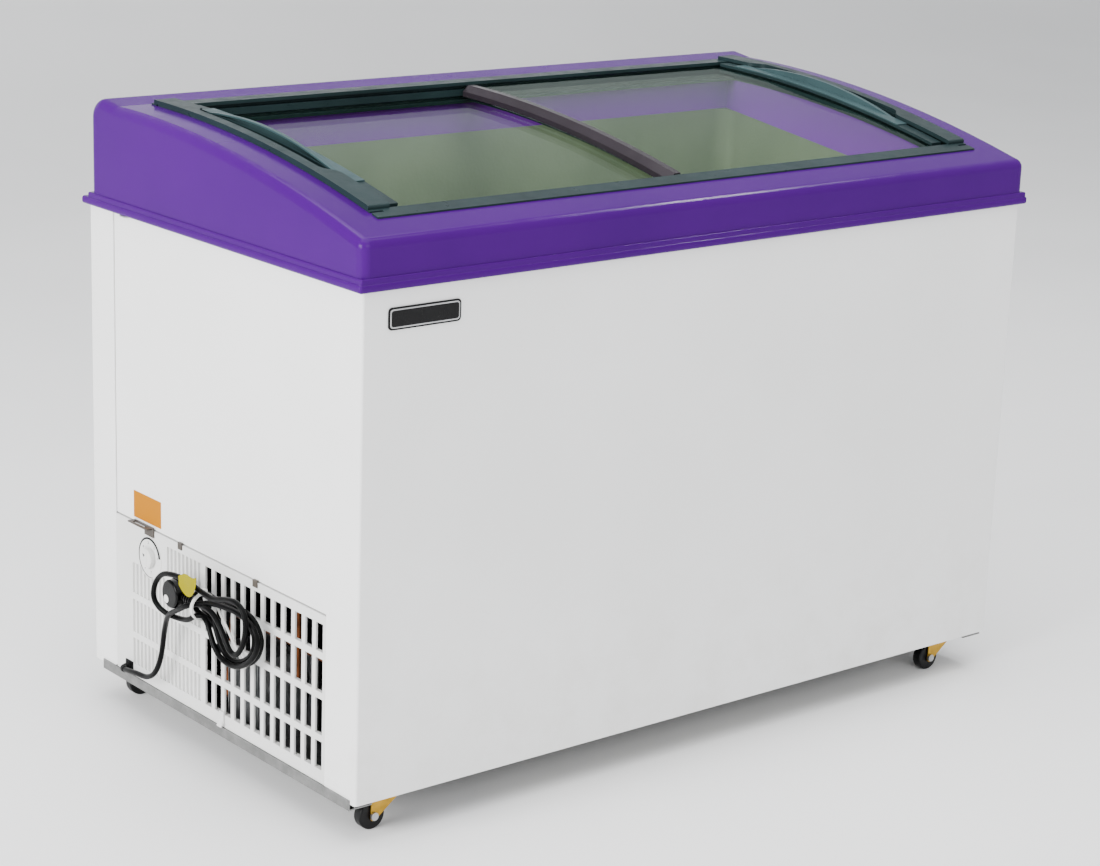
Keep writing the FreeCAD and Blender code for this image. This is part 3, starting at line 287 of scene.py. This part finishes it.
plug_plastic = surface("plug_plastic", (0.0008, 0.0008, 0.001), 0.20, shade=0.7, grain=500, specular=0.14)
tie_plastic = surface("tie_nylon", (0.74, 0.74, 0.71), 0.38, shade=0.92, grain=700)
yellow_tag = surface(
    "tag_film", (0.27, 0.235, 0.0), 0.42, specular=0.03, shade=0.86, grain=250, strength=0.35, depth=0.0006
)
orange = surface("label_film", (0.45, 0.165, 0.0), 0.42, specular=0.03, shade=0.92, grain=500)
foam = surface("foam", (0.80, 0.72, 0.46), 0.85, shade=0.85, grain=300, strength=0.5)
badge_black = surface("badge_black", (0.004, 0.004, 0.0045), 0.28, shade=0.8, grain=600, specular=0.2)
badge_silver = brushed("badge_silver", (0.66, 0.66, 0.67), 0.28, "x")
print_grey = surface("scale_print", (0.010, 0.010, 0.011), 0.5, shade=0.8, grain=800, specular=0.1)
sticker = surface("white_sticker", (0.80, 0.80, 0.78), 0.45, shade=0.9, grain=800)


# ---------------------------------------------------------------- mesh tools
def piece(name, verts, faces, mat, body="cabinet", smooth=True, slot=None, bevel=None):
    """A mesh in millimetres of the row frame, riding on a body."""
    mesh = bpy.data.meshes.new(name)
    mesh.from_pydata([Vector(v) * MM for v in verts], [], faces)
    work = bmesh.new()
    work.from_mesh(mesh)
    bmesh.ops.recalc_face_normals(work, faces=work.faces)
    work.to_mesh(mesh)
    work.free()
    mesh.polygons.foreach_set("use_smooth", [smooth] * len(mesh.polygons))
    mesh.materials.append(mat)
    made = bpy.data.objects.new(name, mesh)
    bpy.context.scene.collection.objects.link(made)
    if bevel:
        edge = made.modifiers.new("edge", "BEVEL")
        edge.width = bevel * MM
        edge.segments = 2
        edge.limit_method = "ANGLE"
        edge.harden_normals = True
    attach(made, body)
    return made


def prism(profile, first, last, axis=0):
    """Corners and faces of a profile pushed along an axis; the profile holds the other two coordinates."""
    def corner(point, level):
        point = list(point)
        point.insert(axis, level)
        return tuple(point)

    count = len(profile)
    verts = [corner(p, first) for p in profile] + [corner(p, last) for p in profile]
    faces = [tuple(range(count)), tuple(range(count, 2 * count))]
    faces += [(i, (i + 1) % count, count + (i + 1) % count, count + i) for i in range(count)]
    return verts, faces


def gather(parts):
    """Several lots of corners and faces as one lot."""
    verts, faces = [], []
    for some_verts, some_faces in parts:
        start = len(verts)
        verts += some_verts
        faces += [tuple(i + start for i in face) for face in some_faces]
    return verts, faces


def ring_faces(rows, steps):
    """Faces joining rings of corners one after the other, closed at both ends."""
    faces = []
    for row in range(rows - 1):
        for i in range(steps):
            a, b = row * steps + i, row * steps + (i + 1) % steps
            faces.append((a, b, b + steps, a + steps))
    faces.append(tuple(range(steps)))
    faces.append(tuple(range((rows - 1) * steps, rows * steps)))
    return faces


def turned(centre, profile, axis=(0, 0, 1), steps=32):
    """A profile of (radius, height) pairs turned about an axis through a point."""
    axis = Vector(axis).normalized()
    across = axis.orthogonal().normalized()
    other = axis.cross(across)
    verts = []
    for radius, height in profile:
        for i in range(steps):
            angle = 2 * math.pi * i / steps
            spot = Vector(centre) + axis * height
            verts.append(tuple(spot + across * math.cos(angle) * radius + other * math.sin(angle) * radius))
    return verts, ring_faces(len(profile), steps)


# ---------------------------------------------------------------- cord
def route_curve(name, points, radius, mat):
    """A round cord on one smooth line through millimetre control points."""
    data = bpy.data.curves.new(name, "CURVE")
    data.dimensions = "3D"
    spline = data.splines.new("NURBS")
    spline.points.add(len(points) - 1)
    for spot, point in zip(spline.points, points):
        spot.co = (*(Vector(point) * MM), 1)
    spline.order_u = 3
    spline.use_endpoint_u = True
    spline.resolution_u = 8
    data.bevel_depth = radius * MM
    data.bevel_resolution = 4
    data.use_fill_caps = True
    data.materials.append(mat)
    made = bpy.data.objects.new(name, data)
    bpy.context.scene.collection.objects.link(made)
    return made


CORD = [
    # out of the gland and up in a slack curve to the hank
    (-541.5, 210, 65), (-547, 209.8, 64.8), (-553, 205, 66), (-557, 191, 69), (-559, 176, 72),
    (-560, 160, 75), (-561, 145, 76.5), (-561.5, 130, 79), (-562, 113, 88), (-562, 101, 104),
    (-562.5, 93, 122), (-563, 88, 140), (-565, 82, 156), (-569, 71, 173), (-574, 58, 186),
    (-577, 44, 195), (-578.5, 30, 202), (-580, 17, 209), (-580, 4, 216), (-575, -9, 221),
    # first turn
    (-570, -22, 225), (-569, -38, 229), (-569, -62, 232), (-569, -92, 234), (-568, -115, 229),
    (-567, -131, 218), (-566, -134, 203), (-566, -125, 186), (-566, -106, 170), (-566, -82, 160),
    (-566, -57, 160), (-566, -39, 169), (-566, -29, 184), (-565, -19, 199), (-563, -4, 204),
    (-561, 12, 203), (-560, 22, 215), (-559, 12, 229), (-559, -8, 228),
    # second turn
    (-559, -34, 226), (-559, -60, 227), (-559, -87, 228), (-559, -106, 220), (-559, -117, 206),
    (-559, -113, 188), (-559, -97, 172), (-559, -74, 162), (-559, -53, 163), (-559, -38, 176),
    (-558, -28, 190), (-556, -18, 203), (-554, -3, 204), (-553, 11, 206), (-553, 19, 217),
    (-553, 11, 228), (-553, -8, 227),
    # third turn
    (-553, -30, 224), (-553, -56, 228), (-553, -84, 230), (-553, -106, 224), (-553, -120, 210),
    (-553, -121, 194), (-553, -110, 176), (-553, -92, 164), (-553, -70, 158), (-553, -50, 162),
    (-554, -36, 174), (-556, -26, 190), (-561, -14, 203), (-569, 1, 203),
    # out round the plug and back
    (-569, 16, 192), (-568, 30, 188), (-569, 45, 186), (-573, 60, 187), (-578, 73, 193),
    (-581, 81, 204), (-581, 80, 218), (-580, 72, 232), (-580, 59, 242), (-580, 42, 246), (-579, 22, 248),
    (-578, 2, 247), (-577, -20, 242), (-576, -36, 240),
    # last turn, in front
    (-576, -50, 239), (-576, -76, 247), (-576, -100, 251), (-576, -116, 245), (-576, -123, 231),
    (-576, -121, 213), (-576, -113, 195), (-576, -100, 182), (-576, -87, 184), (-576, -76, 197),
    (-576, -64, 211), (-575, -47, 221), (-574, -30, 222), (-572, -20, 220), (-571, -8, 220),
]
cord = route_curve("mains_cord", CORD, 3.5, sheath)
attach(cord, "cabinet")
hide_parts("power_cord", "cord_loop", "cord_hank")


def centreline(curve):
    """The middle of a cord as points a short step apart, in millimetres."""
    bare = curve.copy()
    bare.data = curve.data.copy()
    bare.data.bevel_depth = 0
    bare.data.splines[0].resolution_u = 12
    mesh = bpy.data.meshes.new_from_object(bare)
    points = [vertex.co / MM for vertex in mesh.vertices]
    bpy.data.meshes.remove(mesh)
    bpy.data.objects.remove(bare)
    return points


def sleeve(line, radii, steps=20):
    """A closed round sleeve along a line; radii gives one radius for each point of it."""
    verts = []
    for i, (spot, radius) in enumerate(zip(line, radii)):
        ahead = (line[min(i + 1, len(line) - 1)] - line[max(i - 1, 0)]).normalized()
        across = ahead.cross(Vector((0, 0, 1))).normalized()
        other = ahead.cross(across)
        for k in range(steps):
            angle = 2 * math.pi * k / steps
            verts.append(tuple(spot + across * math.cos(angle) * radius + other * math.sin(angle) * radius))
    return verts, ring_faces(len(line), steps)


line = centreline(cord)
travel = [0.0]
for here, there in zip(line, line[1:]):
    travel.append(travel[-1] + (there - here).length)
RELIEF_LENGTH = 24
RELIEF_RIB = 2.2
relief_line = [p for p, t in zip(line, travel) if t < RELIEF_LENGTH]
relief_radii = [
    5.6 - 1.6 * t / RELIEF_LENGTH - (0.4 if int(t / RELIEF_RIB) % 2 else 0)
    for t in travel if t < RELIEF_LENGTH
]
relief = piece("strain_relief", *sleeve(relief_line, relief_radii), rubber, slot="rubber")

sticker_profile = [(0.1, 0), (4.8, 0), (5.2, 0.1), (5.2, 0.3), (4.8, 0.4), (0.1, 0.4)]
sticker_disc = turned((-582, 48.5, 212.5), sticker_profile, (-1, 0, 0))
plug_sticker = piece("plug_sticker", *sticker_disc, sticker, slot="tag_paper")
RIM = [(18.0, -2.2), (18.7, -1.4), (18.9, 0), (18.7, 1.4), (18.0, 2.2)]
plug_rim = piece(
    "plug_rim",
    *turned((-571, 42, 220), RIM, (1, 0, 0), 48),
    plug_plastic,
    slot="plug_black",
)


def loose_tag():
    """A strip of yellow film caught in the tie, curling away at both ends; rows are its two edges."""
    across = 9
    rows = [
        ((16, 252), (14, 242)), ((6, 257), (5, 234)), ((0, 260), (-5, 231)), ((-10, 260), (-14, 233)),
        ((-18, 258), (-20, 238)), ((-27, 262), (-24, 246)),
    ]
    verts = []
    for i, (top, bottom) in enumerate(rows):
        for k in range(across):
            part = k / (across - 1)
            y = top[0] + (bottom[0] - top[0]) * part
            z = top[1] + (bottom[1] - top[1]) * part
            lift = 0.8 * math.sin(i * 1.3) + 1.2 * math.sin(part * 3.1) - 0.9 * part
            verts.append((-585.2 + 0.5 * lift, y, z))
    faces = []
    for i in range(len(rows) - 1):
        for k in range(across - 1):
            a = i * across + k
            faces.append((a, a + 1, a + 1 + across, a + across))
    made = piece("yellow_tag", verts, faces, yellow_tag, slot="tag_paper")
    thick = made.modifiers.new("thickness", "SOLIDIFY")
    thick.thickness = 0.35 * MM
    soft = made.modifiers.new("smooth", "SUBSURF")
    soft.levels = soft.render_levels = 2
    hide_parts("cord_tag")
    return made


tag = loose_tag()


# ---------------------------------------------------------------- CAD surfaces
FINISH = {
    "body_white": white_steel,
    "galvanised": zinc,
    "liner_grey": liner,
    "foam": foam,
    "coil_metal": aluminium,
    "purple_plastic": purple,
    "lid_frame": dark_frame,
    "lid_glass": glass,
    "white_plastic": fitting_white,
    "grille_white": grille_white,
    "dial_print": fitting_white,
    "knob_white": fitting_white,
    "black_metal": enamel,
    "rubber": rubber,
    "fin_metal": fins,
    "bracket_steel": steel,
    "motor_black": enamel,
    "fan_plastic": enamel,
    "copper": copper,
    "label_orange": orange,
    "badge": badge_black,
    "latch_metal": latch_steel,
    "screw": steel,
    "yellow_zinc": yellow_zinc,
    "wheel_black": tyre,
    "cord_black": sheath,
    "plug_black": plug_plastic,
    "tie_white": tie_plastic,
    "tag_paper": yellow_tag,
}
for cad in nodes.values():
    for finish in cad.material_slots:
        finish.material = FINISH[finish.material.name.split(".")[0]]

nodes["right_lid_skirt"].material_slots[0].material = smoky
# the grips take the lighter teal, partly painted light
nodes["left_lid_handle"].material_slots[0].material = grip_teal_painted_light
nodes["right_lid_handle"].material_slots[0].material = grip_teal_painted_light


# ---------------------------------------------------------------- front and side details
CROWN_RADIUS = 2050
CROWN_AXIS = (240, -1255.5)


def crown(y):
    """Height of the lids' curve at a depth y, in millimetres."""
    return CROWN_AXIS[1] + math.sqrt(CROWN_RADIUS ** 2 - (y - CROWN_AXIS[0]) ** 2)


def rounded(y0, y1, z0, z1, radius, steps=5):
    """A rectangle with round corners."""
    points = []
    for cy, cz, start in ((y1, z1, 0), (y0, z1, 90), (y0, z0, 180), (y1, z0, 270)):
        cy += -radius if cy == y1 else radius
        cz += -radius if cz == z1 else radius
        for i in range(steps + 1):
            angle = math.radians(start + 90 * i / steps)
            points.append((cy + radius * math.cos(angle), cz + radius * math.sin(angle)))
    return points


badge_border = prism(rounded(-503, -406, 616, 638, 4), -302.1, -301.5, 1)
piece("badge_line", *badge_border, badge_silver, slot="badge", smooth=False, bevel=0.2)
badge_field = prism(rounded(-501.4, -407.6, 617.6, 636.4, 3), -302.6, -302.0, 1)
piece("badge_face", *badge_field, badge_black, slot="badge", smooth=False, bevel=0.3)

# the dial's middle (y, z), its first and last number as angles from the front, and the knob at rest
DIAL = (157, 228)
FIRST_NUMBER = 10
NUMBER_STEP = 45
KNOB_REST = 145


def dial_arc(inner, outer, start, stop, level, thickness):
    """A band round the dial; inner and outer are functions of the way along it."""
    steps = 48
    verts = []
    for i in range(steps + 1):
        part = i / steps
        angle = math.radians(start + (stop - start) * part)
        for radius in (inner(part), outer(part)):
            for x in (level, level - thickness):
                verts.append((x, DIAL[0] - radius * math.cos(angle), DIAL[1] + radius * math.sin(angle)))
    faces = []
    for i in range(steps):
        a, b = i * 4, i * 4 + 4
        faces += [(a, a + 2, b + 2, b), (a + 1, b + 1, b + 3, a + 3)]
        faces += [(a, b, b + 1, a + 1), (a + 2, a + 3, b + 3, b + 2)]
    faces += [(0, 1, 3, 2), (steps * 4, steps * 4 + 2, steps * 4 + 3, steps * 4 + 1)]
    return verts, faces


piece(
    "dial_wedge",
    *dial_arc(lambda p: 25.8 - 3.6 * (1 - p) ** 1.5, lambda p: 26.6, FIRST_NUMBER, 285, -540.7, 0.35),
    print_grey,
    slot="dial_print",
)
upright = Matrix(((0, 0, -1, 0), (-1, 0, 0, 0), (0, 1, 0, 0), (0, 0, 0, 1)))
for digit in range(1, 8):
    angle = math.radians(FIRST_NUMBER + NUMBER_STEP * (digit - 1))
    text = bpy.data.curves.new(f"dial_digit_{digit}", "FONT")
    text.body = str(digit)
    text.size = 5 * MM
    text.extrude = 0.1 * MM
    text.align_x = "CENTER"
    text.align_y = "CENTER"
    text.materials.append(print_grey)
    number = bpy.data.objects.new(f"dial_digit_{digit}", text)
    bpy.context.scene.collection.objects.link(number)
    spot = Vector((-540.85, DIAL[0] - 19.2 * math.cos(angle), DIAL[1] + 19.2 * math.sin(angle))) * MM
    number.matrix_world = Matrix.Translation(spot) @ upright
    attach(number, "cabinet")

FLUTES = 36
FLUTE = ((12.2, -0.55), (12.95, -0.3), (12.95, 0.3), (12.2, 0.55))
flutes = []
for i in range(FLUTES):
    angle = math.radians(360 / FLUTES * i)
    out = Vector((0, math.cos(angle), math.sin(angle)))
    across = Vector((0, -math.sin(angle), math.cos(angle)))
    centre = Vector((0, *DIAL))
    corners = [centre + out * r + across * w for r, w in FLUTE]
    flutes.append(prism([(c.y, c.z) for c in corners], -546.0, -541.2))
cap = [(12.5, -0.8), (12.2, 0.0), (11.2, 0.35), (9.8, 0.35), (9.2, 0.1), (0.1, 0.1)]
flutes.append(turned((-546.6, *DIAL), cap, (-1, 0, 0), 40))
piece("knob_flutes", *gather(flutes), fitting_white, body="knob", slot="knob_white", smooth=False)

# a raised arrow on the knob; its travel either way takes it from the first number to the last
POINTER = ((8.9, 0), (4.4, 1.7), (4.4, -1.7))
pointer_out = Vector((-math.cos(math.radians(KNOB_REST)), math.sin(math.radians(KNOB_REST))))
pointer_across = Vector((-pointer_out.y, pointer_out.x))
pointer = [Vector(DIAL) + pointer_out * r + pointer_across * w for r, w in POINTER]
piece(
    "knob_pointer",
    *prism([tuple(corner) for corner in pointer], -546.5, -547.15),
    print_grey,
    body="knob",
    slot="dial_print",
    smooth=False,
)


GRIP_RADIUS = 650
RIDGE_STEPS = 40


def grip_ridges(name, side, body):
    """Long ridges on the outer face of a lid's crescent grip, fanning from its ends."""
    ends = [Vector((y, crown(y) + 0.5)) for y in (-134, 150)]
    middle = (ends[0] + ends[1]) / 2
    half = (ends[1] - ends[0]).length / 2
    up = Vector((-(ends[1] - ends[0]).y, (ends[1] - ends[0]).x)).normalized()
    centre = middle - up * math.sqrt(GRIP_RADIUS ** 2 - half ** 2)
    ridges = []
    for part in (0.12, 0.32, 0.52, 0.72):
        verts = []
        for i in range(RIDGE_STEPS + 1):
            y = -122 + 260 * i / RIDGE_STEPS
            top = centre.y + math.sqrt(GRIP_RADIUS ** 2 - (y - centre.x) ** 2) - 2.4
            bottom = crown(y) + 0.6
            z = bottom + (top - bottom) * part
            tall = min(1.0, 0.06 * (top - bottom))
            verts += [(side * 458.8, y, z - tall), (side * 460.2, y, z), (side * 458.8, y, z + tall)]
        faces = []
        for i in range(RIDGE_STEPS):
            faces += [(3 * i + k, 3 * i + k + 1, 3 * i + k + 4, 3 * i + k + 3) for k in range(2)]
        last = 3 * RIDGE_STEPS
        faces += [(0, 1, 2), (last, last + 1, last + 2)]
        faces += [(3 * i, 3 * i + 2, 3 * i + 5, 3 * i + 3) for i in range(RIDGE_STEPS)]
        ridges.append((verts, faces))
    return piece(name, *gather(ridges), dark_frame, body=body, slot="lid_frame", smooth=False)


grip_ridges("left_grip_ridges", -1, "left_lid")
grip_ridges("right_grip_ridges", 1, "right_lid")

hook = [(-540, 76), (-542.6, 76), (-543.6, 64), (-546.5, 57.5), (-545.6, 55.8), (-541.8, 59.5), (-540, 62)]
piece("grille_hook", *prism(hook, -20, -10, 1), grille_white, slot="grille_white", smooth=False, bevel=0.6)

clip = [(-540.4, 259), (-541.6, 259), (-541.6, 268), (-538.1, 268), (-538.1, 267.0), (-540.4, 267.0)]
for name, y0, y1 in (("seam_clip_rear", 79, 88), ("seam_clip_front", -93, -83)):
    piece(name, *prism(clip, y0, y1, 1), latch_steel, slot="latch_metal", smooth=False, bevel=0.25)

# cross-head screws in the rear panel
SCREW_DOME = [(4.0, -0.4), (3.9, 0.2), (3.2, 0.8), (2.0, 1.15), (0.1, 1.3)]
heads = []
recess_shade_fills = []
for x in (-500, -170, 170, 500):
    for z in (90, 630):
        heads.append(turned((x, 301.2, z), SCREW_DOME, (0, 1, 0), 24))
        # black crosses standing proud of each dome: painted shade in place of the dark inside the cross
        # recess
        for wide, tall in ((2.2, 0.45), (0.45, 2.2)):
            outline = [(x - wide, z - tall), (x + wide, z - tall), (x + wide, z + tall), (x - wide, z + tall)]
            recess_shade_fills.append(prism(outline, 301.8, 302.6, 1))
piece("screw_domes", *gather(heads), steel, slot="screw")
piece("screw_recess_shade_fills", *gather(recess_shade_fills), badge_black, slot="badge", smooth=False)


# ---------------------------------------------------------------- floor and light
def floor_material(name, colour, rough):
    """A matt floor with a faint drift of tone."""
    mat, tree, shader = material(name, colour, rough)
    vector = place(tree)
    tree.links.new(
        blend_colour(tree, noise(tree, vector, 1.5, 3), tuple(c * 0.97 for c in colour), colour),
        shader.inputs["Base Color"],
    )
    return mat


def stage_floor():
    """A floor that sweeps up behind the object."""
    profile = [(-9.0, 0.0), (3.6, 0.0), (4.4, 0.08), (5.0, 0.35), (5.4, 0.9), (5.6, 1.8), (5.6, 6.0)]
    verts = [(x, y, z) for y, z in profile for x in (-12.0, 12.0)]
    faces = [(2 * i, 2 * i + 1, 2 * i + 3, 2 * i + 2) for i in range(len(profile) - 1)]
    mesh = bpy.data.meshes.new("floor")
    mesh.from_pydata(verts, [], faces)
    mesh.polygons.foreach_set("use_smooth", [True] * len(faces))
    mesh.materials.append(floor_material("floor", (0.92, 0.92, 0.92), 0.6))
    made = bpy.data.objects.new("floor", mesh)
    bpy.context.scene.collection.objects.link(made)


stage_floor()


def area_light(name, spot, aim, size_x, size_y, power):
    """A rectangular lamp at a spot, turned towards a point, in metres and watts."""
    data = bpy.data.lights.new(name, "AREA")
    data.shape = "RECTANGLE"
    data.size = size_x
    data.size_y = size_y
    data.energy = power
    lamp = bpy.data.objects.new(name, data)
    lamp.location = spot
    lamp.rotation_euler = (Vector(aim) - Vector(spot)).to_track_quat("-Z", "Y").to_euler()
    bpy.context.scene.collection.objects.link(lamp)


area_light("overhead", (-0.4, -0.3, 3.4), (0, 0, 0.4), 3.6, 3.0, 115)
area_light("front", (-1.0, -4.2, 2.2), (0, 0, 0.4), 3.0, 2.0, 75)
area_light("left", (-4.2, -0.4, 1.8), (0, 0, 0.4), 2.4, 2.0, 270)
area_light("strip", (2.4, -0.15, 3.4), (0.3, -0.3, 0.7), 1.3, 0.16, 45)
area_light("rear", (1.0, 2.0, 4.6), (0, 0, 0.6), 3.2, 1.6, 40)
world = bpy.data.worlds.new("studio")
world.use_nodes = True
world.node_tree.nodes["Background"].inputs["Color"].default_value = (0.95, 0.97, 1.0, 1)
world.node_tree.nodes["Background"].inputs["Strength"].default_value = 0.75
bpy.context.scene.world = world
